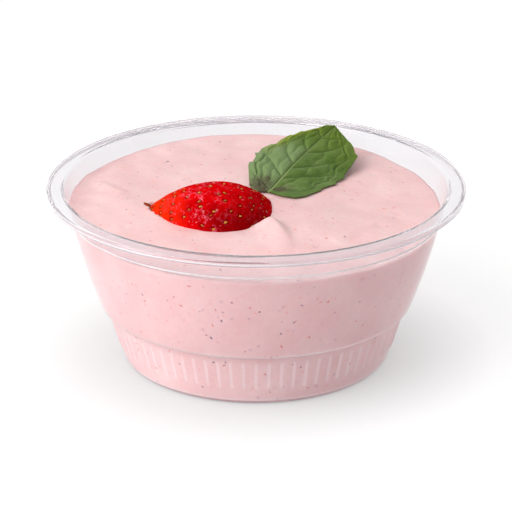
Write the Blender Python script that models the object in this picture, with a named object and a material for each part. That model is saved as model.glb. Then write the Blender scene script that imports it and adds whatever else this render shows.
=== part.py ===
"""A clear plastic dessert cup filled with strawberry mousse, topped with half a strawberry and a mint leaf.

Metres, +Z up. The cup's axis is the Z axis and it stands on the plane z = 0, so the origin is the
centre of its foot. The camera side of the dessert is -Y. Run it with blender --background --python.
"""

import math

import bmesh
import bpy
import numpy as np
from mathutils import Vector

MM = 0.001

# The cup, a turned shell with a stepped wall and a ribbed lower band
SEGMENTS = 74
RIM_RADIUS = 51.0 * MM
FLANGE_TOP = 44.3 * MM
FLANGE_INNER_RADIUS = 47.45 * MM
FLANGE_THICKNESS = 0.62 * MM
FLANGE_FALL = 0.15 * MM
LIP_DEPTH = 1.65 * MM
LIP_THICKNESS = 0.6 * MM
LIP_ROUND = 0.4 * MM
MOUTH_ROUND = 0.95 * MM
WALL = 0.5 * MM
COLLAR_TOP_RADIUS = 46.95 * MM
COLLAR_BOTTOM_RADIUS = 45.75 * MM
COLLAR_BOTTOM = 38.0 * MM
COLLAR_TOP = 43.05 * MM
LEDGE_BOTTOM = 37.0 * MM
WALL_TOP_RADIUS = 45.17 * MM
WALL_SLOPE = 0.209
WALL_BEND = 0.004 / MM
STEP_HEIGHT = 14.33 * MM
STEP_RADIUS = 37.0 * MM
SHOULDER_ROUND = 1.37 * MM
LOWER_SLOPE = 0.287
FOOT_ROUND = 2.2 * MM
FOOT_INNER_RADIUS = 28.2 * MM
PANEL_RADIUS = 26.9 * MM
PANEL_RISE = 0.9 * MM
RIB_BOTTOM = 4.7 * MM
RIB_TOP = 12.4 * MM
RIB_WIDTH = 0.8 * MM
RIB_HEIGHT = 0.28 * MM
RIB_DRAFT = 0.15 * MM

# The mousse, which fills the cup to a wavy top that lies higher at the back
GAP = 0.3 * MM
FILL_LEVEL = 38.4 * MM
FILL_TILT_RIGHT = -0.02
FILL_TILT_BACK = 0.045
DOME_HEIGHT = 1.1 * MM
FILL_RADIUS = 45.0 * MM
TOP_RINGS = 12
CREST_START = (3.4 * MM, -14.0 * MM)
CREST_END = (7.6 * MM, -28.5 * MM)
CREST_BOW = 1.0 * MM
CREST_HEIGHT = 1.95 * MM
CREST_LEFT_WIDTH = 2.9 * MM
CREST_RIGHT_WIDTH = 1.9 * MM
CREST_TAPER = 1.1
LONG_WAVE = 6.5 * MM
LONG_WAVE_HEIGHT = 0.30 * MM
LONG_WAVE_SWAY = 0.8
SWAY_WAVE = 9.0 * MM
SHORT_WAVE = 4.2 * MM
SHORT_WAVE_HEIGHT = 0.22 * MM
SHORT_WAVE_SLANT = 0.35
# Wide dips in the top: centre, size and height
DIPS = (
    ((-22.0 * MM, 6.0 * MM), 8.0 * MM, -0.6 * MM),
    ((-32.0 * MM, 29.0 * MM), 16.0 * MM, -0.7 * MM),
    ((22.0 * MM, -2.0 * MM), 9.0 * MM, -0.4 * MM),
)
# Marks left by the spatula: start, end, half width and height
SPATULA_MARKS = (
    ((-39.0 * MM, 11.0 * MM), (-33.0 * MM, 5.0 * MM), 1.6 * MM, 0.35 * MM),
    ((19.0 * MM, -22.0 * MM), (33.0 * MM, -5.0 * MM), 1.5 * MM, 0.25 * MM),
)

# The strawberry half, cut side down, its tip to the left
BERRY_TIP = (-27.4 * MM, -2.9 * MM)
BERRY_SHOULDER = (5.0 * MM, -1.9 * MM)
BERRY_BOW = -4.6 * MM
BERRY_FRONT_WIDTH = 11.7 * MM
BERRY_BACK_WIDTH = 9.6 * MM
BERRY_HEIGHT = 9.13 * MM
BERRY_CUT_LEVEL = 37.3 * MM
BERRY_STUB_RADIUS = 0.78 * MM
BERRY_STUB_LENGTH = 0.065
BERRY_EDGE_HEIGHT = 1.3 * MM
# How fast the berry swells from its tip and from its shoulder, in plan and in height
BERRY_PLAN_ENDS = (0.66, 0.40)
BERRY_LIFT_ENDS = (0.90, 0.80)
BERRY_STEPS = 36
BERRY_SIDES = 28
SEED_PITCH = 3
SEED_DIMPLE = 0.30 * MM
SEED_RISE = 0.34 * MM
# The dimple is full depth this many grid steps from a seed, and a share of it at the corners beyond
DIMPLE_REACH = 1.2
DIMPLE_CORNER_REACH = 1.5
DIMPLE_CORNER_SHARE = 0.12

# The mint leaf, its base on the mousse behind the strawberry and its tip raised to the back.
# Its edges are (share of the midrib, share of the half width), from the base to the tip.
LEAF_BASE = (2.95 * MM, 3.75 * MM, 40.28 * MM)
LEAF_TIP = (20.2 * MM, 34.1 * MM, 46.98 * MM)
LEAF_HALF_WIDTH = 11.2 * MM
LEAF_LEFT_EDGE = (
    (0.0, 0.0),
    (-0.03, 0.20),
    (-0.03, 0.38),
    (0.01, 0.49),
    (0.10, 0.66),
    (0.20, 0.85),
    (0.245, 0.90),
    (0.255, 0.84),
    (0.33, 0.89),
    (0.375, 0.99),
    (0.385, 0.92),
    (0.45, 0.95),
    (0.535, 0.85),
    (0.54, 0.77),
    (0.62, 0.74),
    (0.70, 0.65),
    (0.71, 0.58),
    (0.785, 0.50),
    (0.79, 0.44),
    (0.89, 0.25),
    (0.97, 0.15),
    (1.0, 0.0),
)
LEAF_RIGHT_EDGE = (
    (0.0, 0.0),
    (-0.015, 0.25),
    (-0.015, 0.45),
    (0.005, 0.68),
    (0.07, 0.83),
    (0.15, 0.89),
    (0.23, 0.97),
    (0.25, 0.93),
    (0.33, 0.99),
    (0.40, 1.07),
    (0.42, 1.0),
    (0.53, 1.06),
    (0.55, 1.01),
    (0.69, 1.0),
    (0.795, 0.96),
    (0.80, 0.88),
    (0.86, 0.73),
    (0.89, 0.61),
    (0.895, 0.55),
    (0.95, 0.25),
    (1.0, 0.0),
)
LEAF_THICKNESS = 0.45 * MM
LEAF_LEFT_FALL = math.radians(8)
LEAF_RIGHT_FALL = math.radians(20)
LEAF_ARCH = 0.8 * MM
LEAF_FOLDS = 7
LEAF_FOLD_HEIGHT = 0.3 * MM
LEAF_WAVE = 0.4 * MM
LEAF_WAVES = 1.3
LEAF_WAVE_SHIFT = 0.8
# Rows leave the midrib straight and curve to the margin by this power of the width
LEAF_ROW_CURVE = 1.3
LEAF_ROW_SPACING = 0.8
LEAF_FIRST_ROW = 0.004
LEAF_ROWS = 21
LEAF_COLUMNS = 10
LEAF_CLEARANCE = 0.4 * MM


def clear_scene():
    for item in list(bpy.data.objects):
        bpy.data.objects.remove(item, do_unlink=True)


def make_material(name, colour, roughness, transmission=0.0):
    material = bpy.data.materials.new(name)
    material.use_nodes = True
    shader = material.node_tree.nodes["Principled BSDF"]
    shader.inputs["Base Color"].default_value = (*colour, 1.0)
    shader.inputs["Roughness"].default_value = roughness
    shader.inputs["Metallic"].default_value = 0.0
    shader.inputs["Transmission Weight"].default_value = transmission
    return material


def make_object(name, mesh_data, material, crease_degrees=40):
    """Turn a bmesh into a named object with faces pointing out and smooth shading."""
    bmesh.ops.recalc_face_normals(mesh_data, faces=mesh_data.faces)
    if mesh_data.calc_volume(signed=True) < 0:
        bmesh.ops.reverse_faces(mesh_data, faces=mesh_data.faces)
    mesh = bpy.data.meshes.new(name)
    mesh_data.to_mesh(mesh)
    mesh_data.free()
    mesh.shade_smooth()
    mesh.set_sharp_from_angle(angle=math.radians(crease_degrees))
    mesh.materials.append(material)
    item = bpy.data.objects.new(name, mesh)
    bpy.context.scene.collection.objects.link(item)
    return item


def arc(centre, radius, start, end, steps):
    """Points on a circle in the (r, z) plane; angles are in degrees."""
    return [
        (centre[0] + radius * math.cos(math.radians(angle)), centre[1] + radius * math.sin(math.radians(angle)))
        for angle in np.linspace(start, end, steps + 1)
    ]


def wall_radius(z):
    """Outer radius of the main wall, which steepens towards the rim."""
    depth = LEDGE_BOTTOM - z
    return WALL_TOP_RADIUS - WALL_SLOPE * depth - WALL_BEND * depth * depth


def lower_wall_radius(z):
    """Outer radius of the ribbed lower wall, a plain cone."""
    return STEP_RADIUS - LOWER_SLOPE * (STEP_HEIGHT - z)


def foot_points():
    """The rounding between the flat foot ring and the lower wall."""
    wall_angle = math.atan(LOWER_SLOPE)
    corner_radius = lower_wall_radius(0.0)
    tangent = FOOT_ROUND * math.tan((math.pi / 2 - wall_angle) / 2)
    centre = (corner_radius - tangent, FOOT_ROUND)
    return arc(centre, FOOT_ROUND, -90, -math.degrees(wall_angle), 2)


def shoulder_points():
    """The rounded shoulder from the flat of the step up to the main wall."""
    contact = STEP_HEIGHT + 0.65 * SHOULDER_ROUND
    slope = WALL_SLOPE + 2 * WALL_BEND * (LEDGE_BOTTOM - contact)
    wall_angle = math.atan(slope)
    contact = STEP_HEIGHT + SHOULDER_ROUND * (1 - math.sin(wall_angle))
    centre = (wall_radius(contact) - SHOULDER_ROUND * math.cos(wall_angle), STEP_HEIGHT + SHOULDER_ROUND)
    return arc(centre, SHOULDER_ROUND, -90, -math.degrees(wall_angle), 2)


def outer_path(extra_heights=()):
    """The cup's outside in (r, z), from the middle of the base up to the flange.

    extra_heights are those of any further rings in the lower wall.
    """
    path = [(0.0, PANEL_RISE), (PANEL_RADIUS, PANEL_RISE), (FOOT_INNER_RADIUS, 0.0)]
    path += foot_points()
    path += [(lower_wall_radius(z), z) for z in extra_heights]
    path.append((STEP_RADIUS, STEP_HEIGHT))
    path += shoulder_points()
    middle = 0.5 * (STEP_HEIGHT + LEDGE_BOTTOM)
    path += [(wall_radius(middle), middle), (WALL_TOP_RADIUS, LEDGE_BOTTOM)]
    path += [(COLLAR_BOTTOM_RADIUS, COLLAR_BOTTOM), (COLLAR_TOP_RADIUS, COLLAR_TOP)]
    return path


def rib_band():
    """Heights between which each rib has its share of the lower wall."""
    return RIB_BOTTOM - rib_margin(), RIB_TOP + rib_margin()


def rib_margin():
    """Plain strip left on every side of a rib inside its share of the band."""
    share = 2 * math.pi * lower_wall_radius(RIB_BOTTOM) / SEGMENTS
    return 0.5 * (share - RIB_WIDTH)


def offset_path(path, distance):
    """The same path moved inwards (to the left of its direction) by a distance, with mitred corners."""
    points = [np.array(point) for point in path]
    moved = []
    for index, point in enumerate(points):
        normals = []
        for first, second in ((index - 1, index), (index, index + 1)):
            if first >= 0 and second < len(points):
                direction = points[second] - points[first]
                direction = direction / np.linalg.norm(direction)
                normals.append(np.array((-direction[1], direction[0])))
        normal = sum(normals) / len(normals)
        moved.append(tuple(point + normal * distance / np.dot(normal, normals[0])))
    moved[0] = (0.0, moved[0][1])
    return moved


def flange_points():
    """Round the flange: along its underside, round the lip and over the top to the mouth."""
    lip_bottom = FLANGE_TOP - LIP_DEPTH
    outer_top = FLANGE_TOP - FLANGE_FALL
    under = [
        (FLANGE_INNER_RADIUS, FLANGE_TOP - FLANGE_THICKNESS),
        (RIM_RADIUS - LIP_THICKNESS - LIP_ROUND, outer_top - FLANGE_THICKNESS),
        (RIM_RADIUS - LIP_THICKNESS, lip_bottom),
        (RIM_RADIUS, lip_bottom + 0.15 * MM),
    ]
    edge = arc((RIM_RADIUS - LIP_ROUND, outer_top - LIP_ROUND), LIP_ROUND, 0, 90, 2)
    mouth = arc((FLANGE_INNER_RADIUS, FLANGE_TOP - MOUTH_ROUND), MOUTH_ROUND, 90, 180, 3)
    return under + edge + mouth


def stack_rings(rings, bottom, top):
    """A closed body made of stacked rings of points with one middle point below and one above."""
    body = bmesh.new()
    rows = [[body.verts.new(point) for point in ring] for ring in rings]
    first = body.verts.new(bottom)
    last = body.verts.new(top)
    count = len(rows[0])
    for step in range(count):
        following = (step + 1) % count
        body.faces.new((first, rows[0][following], rows[0][step]))
        for lower, upper in zip(rows, rows[1:]):
            body.faces.new((lower[step], lower[following], upper[following], upper[step]))
        body.faces.new((last, rows[-1][step], rows[-1][following]))
    return body


def turned_ring(radius, z):
    angles = [2 * math.pi * step / SEGMENTS for step in range(SEGMENTS)]
    return [(radius * math.cos(angle), radius * math.sin(angle), z) for angle in angles]


def raise_ribs(body):
    """Inset each face of the rib band to the rib's foot, then again with a rise to its top."""
    low, high = rib_band()
    inner_limit = lower_wall_radius(low) - 0.5 * WALL
    tolerance = 0.01 * MM
    band = []
    for face in body.faces:
        heights = [vertex.co.z for vertex in face.verts]
        radii = [vertex.co.xy.length for vertex in face.verts]
        spans_band = abs(min(heights) - low) < tolerance and abs(max(heights) - high) < tolerance
        if spans_band and min(radii) > inner_limit:
            band.append(face)
    bmesh.ops.recalc_face_normals(body, faces=body.faces)
    bmesh.ops.inset_individual(body, faces=band, thickness=rib_margin(), depth=0.0, use_even_offset=True)
    bmesh.ops.inset_individual(body, faces=band, thickness=RIB_DRAFT, depth=RIB_HEIGHT, use_even_offset=True)


def build_cup():
    inside = offset_path(outer_path(), WALL)
    profile = outer_path(rib_band()) + flange_points() + list(reversed(inside))
    rings = [turned_ring(radius, z) for radius, z in profile[1:-1]]
    body = stack_rings(rings, (0.0, 0.0, profile[0][1]), (0.0, 0.0, profile[-1][1]))
    raise_ribs(body)
    material = make_material("clear_plastic", (0.93, 0.94, 0.95), 0.08, transmission=0.9)
    return make_object("cup", body, material, crease_degrees=50)


def bump(x, y, centre, size, height):
    """A soft round swelling, or a dip where the height is negative."""
    square = (x - centre[0]) ** 2 + (y - centre[1]) ** 2
    return height * math.exp(-square / (size * size))


def ridge(x, y, start, end, left_width, right_width, height, bow=0.0, taper=0.0):
    """A long swelling from start to end, with a width for each flank, which can fade towards its end.

    For one that runs to the front, left and right are as seen from the front, and it bows to the right.
    """
    along = np.array(end) - np.array(start)
    length = float(np.linalg.norm(along))
    along = along / length
    across = np.array((-along[1], along[0]))
    offset = np.array((x, y)) - np.array(start)
    place = float(np.dot(offset, along)) / length
    inside = min(max(place, 0.0), 1.0)
    side = float(np.dot(offset, across)) - bow * 4 * inside * (1 - inside)
    beyond = (place - inside) * length
    width = right_width if side > 0 else left_width
    fade = (1 - inside) ** taper if taper else 1.0
    end_width = 0.5 * max(left_width, right_width)
    return height * fade * math.exp(-((side / width) ** 2) - (beyond / end_width) ** 2)


def mousse_height(x, y):
    """Height of the mousse's top over a point of the plan."""
    share = (x * x + y * y) / (FILL_RADIUS * FILL_RADIUS)
    z = FILL_LEVEL + FILL_TILT_RIGHT * x + FILL_TILT_BACK * y + DOME_HEIGHT * (1 - share)
    calm = max(0.0, 1 - share * share)
    sway = LONG_WAVE_SWAY * math.sin(y / SWAY_WAVE)
    z += calm * LONG_WAVE_HEIGHT * math.sin(x / LONG_WAVE + sway)
    z += calm * SHORT_WAVE_HEIGHT * math.sin((y - SHORT_WAVE_SLANT * x) / SHORT_WAVE)
    for centre, size, height in DIPS:
        z += bump(x, y, centre, size, height)
    for start, end, width, height in SPATULA_MARKS:
        z += ridge(x, y, start, end, width, width, height)
    z += ridge(
        x,
        y,
        CREST_START,
        CREST_END,
        CREST_LEFT_WIDTH,
        CREST_RIGHT_WIDTH,
        CREST_HEIGHT,
        bow=CREST_BOW,
        taper=CREST_TAPER,
    )
    return z


def path_radius(path, z):
    """Radius of a rising (r, z) path at a height."""
    rising = path[4:]
    return float(np.interp(z, [point[1] for point in rising], [point[0] for point in rising]))


def mousse_rings():
    """Rings up the cup's wall to the line of contact, then inwards over the wavy top."""
    side = offset_path(outer_path(), WALL + GAP)
    fixed = [point for point in side[1:] if point[1] < LEDGE_BOTTOM - 3.0 * MM]
    rings = [turned_ring(radius, z) for radius, z in fixed]
    start = fixed[-1][1]
    directions = [(x, y) for x, y, _ in turned_ring(1.0, 0.0)]
    contact = []
    for across, back in directions:
        radius = FILL_RADIUS
        for _ in range(4):
            z = mousse_height(radius * across, radius * back)
            radius = path_radius(side, z)
        contact.append((radius, z))
    for share in (0.35, 0.7):
        ring = []
        for (across, back), (_, top) in zip(directions, contact):
            z = start + share * (top - start)
            radius = path_radius(side, z)
            ring.append((radius * across, radius * back, z))
        rings.append(ring)
    for step in range(TOP_RINGS):
        share = 1 - step / TOP_RINGS
        ring = []
        for (across, back), (radius, _) in zip(directions, contact):
            x = share * radius * across
            y = share * radius * back
            ring.append((x, y, mousse_height(x, y)))
        rings.append(ring)
    return rings, side[0][1]


def berry_profile(share, front, back):
    """Swelling of the berry along its length: 0 at the tip, 1 at the widest point, 0 at the shoulder."""
    widest = front / (front + back)
    peak = widest**front * (1 - widest) ** back
    return share**front * (1 - share) ** back / peak


def berry_point(share, turn, depth=0.0, growth=0.0):
    """A point of the berry's skin; turn runs from 0 at the front cut edge to pi at the back one.

    growth moves the skin and the cut face outwards, for the socket in the mousse.
    """
    swell = berry_profile(share, *BERRY_PLAN_ENDS)
    lift = berry_profile(share, *BERRY_LIFT_ENDS)
    stub = BERRY_STUB_RADIUS * math.exp(-((share / BERRY_STUB_LENGTH) ** 4))
    side_width = BERRY_FRONT_WIDTH if turn < math.pi / 2 else BERRY_BACK_WIDTH
    half_width = max(side_width * swell, stub) + growth - depth
    height = max(BERRY_HEIGHT * lift, 2 * stub + BERRY_EDGE_HEIGHT) + 2 * growth - depth
    x = BERRY_TIP[0] + (BERRY_SHOULDER[0] - BERRY_TIP[0]) * share + growth * (2 * share - 1)
    y = BERRY_TIP[1] + (BERRY_SHOULDER[1] - BERRY_TIP[1]) * share + BERRY_BOW * 4 * share * (1 - share)
    y -= half_width * math.cos(turn)
    z = BERRY_CUT_LEVEL - growth + height * math.sin(turn)
    return x, y, z


def seed_relief(step, side):
    """How far the skin lies below its full form: a ring-shaped dimple round each seed."""
    row = step // SEED_PITCH
    shift = (row % 2) * (SEED_PITCH // 2)
    along = (step % SEED_PITCH) - SEED_PITCH // 2
    across = (side + shift) % SEED_PITCH - SEED_PITCH // 2
    distance = math.hypot(along, across)
    if distance == 0:
        return SEED_DIMPLE - SEED_RISE
    if distance < DIMPLE_REACH:
        return SEED_DIMPLE
    return DIMPLE_CORNER_SHARE * SEED_DIMPLE if distance < DIMPLE_CORNER_REACH else 0.0


def berry_body(steps, sides, growth=0.0, with_seeds=True):
    body = bmesh.new()
    rows = []
    for step in range(1, steps):
        even = step / steps
        share = 0.5 * even + 0.5 * (0.5 - 0.5 * math.cos(math.pi * even))
        spread = min(1.0, 5 * share, 5 * (1 - share))
        row = []
        for side in range(sides + 1):
            turn = math.pi * side / sides
            on_skin = with_seeds and 0 < side < sides
            depth = spread * seed_relief(step, side) if on_skin else 0.0
            row.append(body.verts.new(berry_point(share, turn, depth, growth)))
        rows.append(row)
    middle = BERRY_CUT_LEVEL + 0.6 * MM
    tip = body.verts.new((BERRY_TIP[0] - growth, BERRY_TIP[1], middle))
    end = body.verts.new((BERRY_SHOULDER[0] + growth, BERRY_SHOULDER[1], middle))
    for first, second in zip(rows, rows[1:]):
        for side in range(sides):
            body.faces.new((first[side], second[side], second[side + 1], first[side + 1]))
        body.faces.new((first[sides], second[sides], second[0], first[0]))
    for side in range(sides):
        body.faces.new((tip, rows[0][side], rows[0][side + 1]))
        body.faces.new((end, rows[-1][side + 1], rows[-1][side]))
    body.faces.new((tip, rows[0][sides], rows[0][0]))
    body.faces.new((end, rows[-1][0], rows[-1][sides]))
    bmesh.ops.triangulate(body, faces=body.faces)
    return body


def build_strawberry():
    material = make_material("strawberry_skin", (0.62, 0.012, 0.012), 0.25)
    return make_object("strawberry", berry_body(BERRY_STEPS, BERRY_SIDES), material, crease_degrees=75)


def build_mousse():
    rings, floor = mousse_rings()
    body = stack_rings(rings, (0.0, 0.0, floor), (0.0, 0.0, mousse_height(0.0, 0.0)))
    bmesh.ops.triangulate(body, faces=body.faces)
    material = make_material("strawberry_mousse", (0.93, 0.66, 0.66), 0.45)
    mousse = make_object("mousse", body, material)
    socket = make_object("berry_socket", berry_body(24, 14, growth=GAP, with_seeds=False), material)
    socket.hide_render = True
    socket.display_type = "WIRE"
    cut = mousse.modifiers.new("berry_socket", "BOOLEAN")
    cut.object = socket
    cut.operation = "DIFFERENCE"
    cut.solver = "EXACT"
    return mousse


def leaf_margin(share, edge):
    """Where the row that leaves the midrib at this share meets the leaf's toothed edge."""
    steps = np.hypot(*np.diff(np.array(edge), axis=0).T)
    travel = np.concatenate(([0.0], np.cumsum(steps))) / steps.sum()
    place = share**LEAF_ROW_SPACING
    along = float(np.interp(place, travel, [point[0] for point in edge]))
    out = float(np.interp(place, travel, [point[1] for point in edge]))
    return along, out


def leaf_point(share, across):
    """A point on the leaf's middle surface; across runs from -1 at the left edge to 1 at the right."""
    base = Vector(LEAF_BASE)
    midrib = Vector(LEAF_TIP) - base
    length = midrib.length
    midrib.normalize()
    lateral = midrib.cross(Vector((0, 0, 1))).normalized()
    upward = lateral.cross(midrib)
    is_right = across > 0
    margin_along, margin_out = leaf_margin(share, LEAF_RIGHT_EDGE if is_right else LEAF_LEFT_EDGE)
    distance = abs(across)
    along = share + (margin_along - share) * distance**LEAF_ROW_CURVE
    flat = margin_out * across * LEAF_HALF_WIDTH
    tilt = -LEAF_RIGHT_FALL if is_right else -LEAF_LEFT_FALL
    lift = math.sin(tilt) * flat
    lift += LEAF_ARCH * math.sin(math.pi * min(max(along, 0.0), 1.0))
    lift += LEAF_FOLD_HEIGHT * math.cos(math.pi * share * LEAF_FOLDS) * math.sin(math.pi * distance)
    lift += LEAF_WAVE * distance**2 * math.sin(2 * math.pi * LEAF_WAVES * along + LEAF_WAVE_SHIFT)
    point = base + midrib * (along * length) + lateral * (math.cos(tilt) * flat) + upward * lift
    floor = mousse_height(point.x, point.y) + LEAF_CLEARANCE + 0.5 * LEAF_THICKNESS
    return Vector((point.x, point.y, max(point.z, floor)))


def build_leaf():
    """Both faces are the same grid of triangles, half a thickness above and below the middle surface."""
    body = bmesh.new()
    faces = []
    for side in (1, -1):
        tip_point = leaf_point(1.0, 0.0) + Vector((0, 0, side * 0.5 * LEAF_THICKNESS))
        tip = body.verts.new(tip_point)
        grid = []
        for row in range(LEAF_ROWS):
            share = LEAF_FIRST_ROW + (1 - LEAF_FIRST_ROW) * row / LEAF_ROWS
            line = []
            for column in range(LEAF_COLUMNS + 1):
                point = leaf_point(share, 2 * column / LEAF_COLUMNS - 1)
                line.append(body.verts.new(point + Vector((0, 0, side * 0.5 * LEAF_THICKNESS))))
            grid.append(line)
        for first, second in zip(grid, grid[1:]):
            for column in range(LEAF_COLUMNS):
                corners = (first[column], first[column + 1], second[column + 1], second[column])
                for triangle in ((0, 1, 2), (0, 2, 3)):
                    body.faces.new([corners[index] for index in triangle])
        for column in range(LEAF_COLUMNS):
            body.faces.new((grid[-1][column], grid[-1][column + 1], tip))
        edge = grid[0] + [line[-1] for line in grid[1:]] + [tip] + [line[0] for line in reversed(grid[1:])]
        faces.append(edge)
    upper, lower = faces
    for index in range(len(upper)):
        following = (index + 1) % len(upper)
        body.faces.new((upper[index], upper[following], lower[following], lower[index]))
    bmesh.ops.triangulate(body, faces=body.faces)
    material = make_material("mint", (0.10, 0.24, 0.05), 0.45)
    return make_object("mint_leaf", body, material, crease_degrees=60)


clear_scene()
build_cup()
build_mousse()
build_strawberry()
build_leaf()
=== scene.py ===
"""Looks for the filled dessert cup: clear ribbed cup, mousse with fruit flecks, berry and mint leaf.

Metres, +Z up, the cup's axis on Z and its foot on z = 0. The camera side is -Y.
"""

import math

import bpy
import numpy as np
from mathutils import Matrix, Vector


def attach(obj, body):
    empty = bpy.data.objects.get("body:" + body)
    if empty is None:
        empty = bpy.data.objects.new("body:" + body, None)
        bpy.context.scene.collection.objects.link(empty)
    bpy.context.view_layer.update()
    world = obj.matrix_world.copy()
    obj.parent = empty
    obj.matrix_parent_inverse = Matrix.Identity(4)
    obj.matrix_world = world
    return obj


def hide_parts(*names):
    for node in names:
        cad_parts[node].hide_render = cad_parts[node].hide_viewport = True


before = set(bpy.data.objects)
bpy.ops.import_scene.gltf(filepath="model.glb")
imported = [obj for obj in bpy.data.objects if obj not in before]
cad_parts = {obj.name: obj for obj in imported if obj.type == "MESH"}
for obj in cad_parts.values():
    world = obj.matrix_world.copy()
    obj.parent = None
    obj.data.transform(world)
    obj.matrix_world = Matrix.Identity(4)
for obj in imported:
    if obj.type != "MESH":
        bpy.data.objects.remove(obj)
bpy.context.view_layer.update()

MM = 0.001
SEED = 7

# The cup, as in the part's source but for two values: the ribs are eased a little more, and the rim is
# 0.05 mm smaller, because the part's rim has flat sides and a true circle would reach past them
RIBS = 74
RIM_RADIUS = 50.95 * MM
FLANGE_TOP = 44.3 * MM
FLANGE_INNER_RADIUS = 47.45 * MM
FLANGE_THICKNESS = 0.62 * MM
FLANGE_FALL = 0.15 * MM
LIP_DEPTH = 1.65 * MM
LIP_THICKNESS = 0.6 * MM
LIP_ROUND = 0.4 * MM
MOUTH_ROUND = 0.95 * MM
WALL = 0.5 * MM
COLLAR_TOP_RADIUS = 46.95 * MM
COLLAR_BOTTOM_RADIUS = 45.75 * MM
COLLAR_BOTTOM = 38.0 * MM
COLLAR_TOP = 43.05 * MM
LEDGE_BOTTOM = 37.0 * MM
WALL_TOP_RADIUS = 45.17 * MM
WALL_SLOPE = 0.209
WALL_BEND = 0.004 / MM
STEP_HEIGHT = 14.33 * MM
STEP_RADIUS = 37.0 * MM
SHOULDER_ROUND = 1.37 * MM
LOWER_SLOPE = 0.287
FOOT_ROUND = 2.2 * MM
FOOT_INNER_RADIUS = 28.2 * MM
# Outline points passed over, at the foot, where a radius is looked up by its height
FOOT_POINTS = 8
PANEL_RADIUS = 26.9 * MM
PANEL_RISE = 0.9 * MM
RIB_BOTTOM = 4.7 * MM
RIB_TOP = 12.4 * MM
RIB_WIDTH = 0.8 * MM
RIB_HEIGHT = 0.28 * MM
RIB_DRAFT = 0.2 * MM
# Height, half width, strength and colour of the lines painted on the mousse behind the step and at the foot:
# the pale ones are painted highlights, the dark ones painted shade
STEP_HIGHLIGHT_AND_SHADE_LINES = (
    (14.75 * MM, 0.30 * MM, 0.75, (0.97, 0.92, 0.92)),
    (14.05 * MM, 0.35 * MM, 0.30, (0.66, 0.36, 0.39)),
    (1.45 * MM, 0.28 * MM, 0.45, (0.97, 0.90, 0.91)),
    (0.45 * MM, 0.75 * MM, 0.85, (0.52, 0.28, 0.33)),
)
# Between these heights the mousse pressed to the wall looks a little deeper in colour
PRESSED_BAND = (15.2 * MM, 36.4 * MM)
CORNER_ROUND = 0.22 * MM
# Painted highlights: pale rings that run round the cup where its lip and ledge catch the light: radius and
# height of the middle, half depth and half height
HIGHLIGHT_RINGS = (
    (45.72 * MM, 38.02 * MM, 0.13 * MM, 0.20 * MM),
    (50.78 * MM, 43.15 * MM, 0.14 * MM, 0.20 * MM),
)
HIGHLIGHT_RING_COLUMNS = 360
HIGHLIGHT_RING_SIDES = 12
# Columns of the cup's mesh for each rib and the gap beside it
RIB_COLUMNS = 14
# Rows of the cup's mesh at a rib's rounded end, as distances in from the end
RIB_END_ROWS = (-0.30, 0.0, 0.07, 0.15, 0.26, 0.42, 0.7, 1.4)

# The mousse
SINK_IN_WALL = 0.25 * MM
FILL_LEVEL = 38.4 * MM
FILL_TILT_RIGHT = -0.02
FILL_TILT_BACK = 0.045
DOME_HEIGHT = 1.1 * MM
FILL_RADIUS = 45.0 * MM
CREST_START = (3.4 * MM, -14.0 * MM)
CREST_END = (7.6 * MM, -28.5 * MM)
CREST_BOW = 1.0 * MM
CREST_HEIGHT = 1.95 * MM
CREST_LEFT_WIDTH = 2.9 * MM
CREST_RIGHT_WIDTH = 1.9 * MM
CREST_TAPER = 1.1
# Gentle waves over the whole surface, calm at the wall
LONG_WAVE = 6.5 * MM
LONG_WAVE_HEIGHT = 0.30 * MM
LONG_WAVE_SWAY = 0.8
SWAY_WAVE = 9 * MM
SHORT_WAVE = 4.2 * MM
SHORT_WAVE_HEIGHT = 0.22 * MM
SHORT_WAVE_SLANT = 0.35
# Shallow dips: centre, size and height
DIPS = (
    ((-22 * MM, 6 * MM), 8 * MM, -0.6 * MM),
    ((-32 * MM, 29 * MM), 16 * MM, -0.7 * MM),
    ((22 * MM, -2 * MM), 9 * MM, -0.4 * MM),
)
# Marks left by the spatula: start, end, half width and height
SPATULA_MARKS = (
    ((-39 * MM, 11 * MM), (-33 * MM, 5 * MM), 1.6 * MM, 0.35 * MM),
    ((19 * MM, -22 * MM), (33 * MM, -5 * MM), 1.5 * MM, 0.25 * MM),
)
SMALL_WAVES = 60
PITS = 26
MOUSSE_COLUMNS = 444
MOUSSE_RINGS = 90

# The strawberry half
BERRY_TIP = (-27.4 * MM, -2.9 * MM)
BERRY_SHOULDER = (5.0 * MM, -1.9 * MM)
BERRY_BOW = -4.6 * MM
BERRY_FRONT_WIDTH = 11.7 * MM
BERRY_BACK_WIDTH = 9.6 * MM
BERRY_HEIGHT = 9.13 * MM
BERRY_CUT_LEVEL = 37.3 * MM
BERRY_STUB_RADIUS = 0.78 * MM
BERRY_STUB_LENGTH = 0.065
BERRY_EDGE_HEIGHT = 1.3 * MM
# Powers of the distance from the tip and from the shoulder, for the plan and for the height
BERRY_PLAN_ENDS = (0.66, 0.40)
BERRY_LIFT_ENDS = (0.90, 0.80)
# The mousse is cut down to this level under the berry, from this far inside its outline
SOCKET_LEVEL = BERRY_CUT_LEVEL - 0.3 * MM
SOCKET_MARGIN = 0.9 * MM
BERRY_LUMPS = 14
BERRY_STEPS = 230
BERRY_SIDES = 150
# The grid on which the seeds are placed, as in the part's source
PART_STEPS = 36
PART_SIDES = 28
SEED_PITCH = 3
SEED_LENGTH = 0.90 * MM
SEED_WIDTH = 0.50 * MM
SEED_THICKNESS = 0.42 * MM
DIMPLE_DEPTH = 0.34 * MM
DIMPLE_RADIUS = 0.85 * MM

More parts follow.
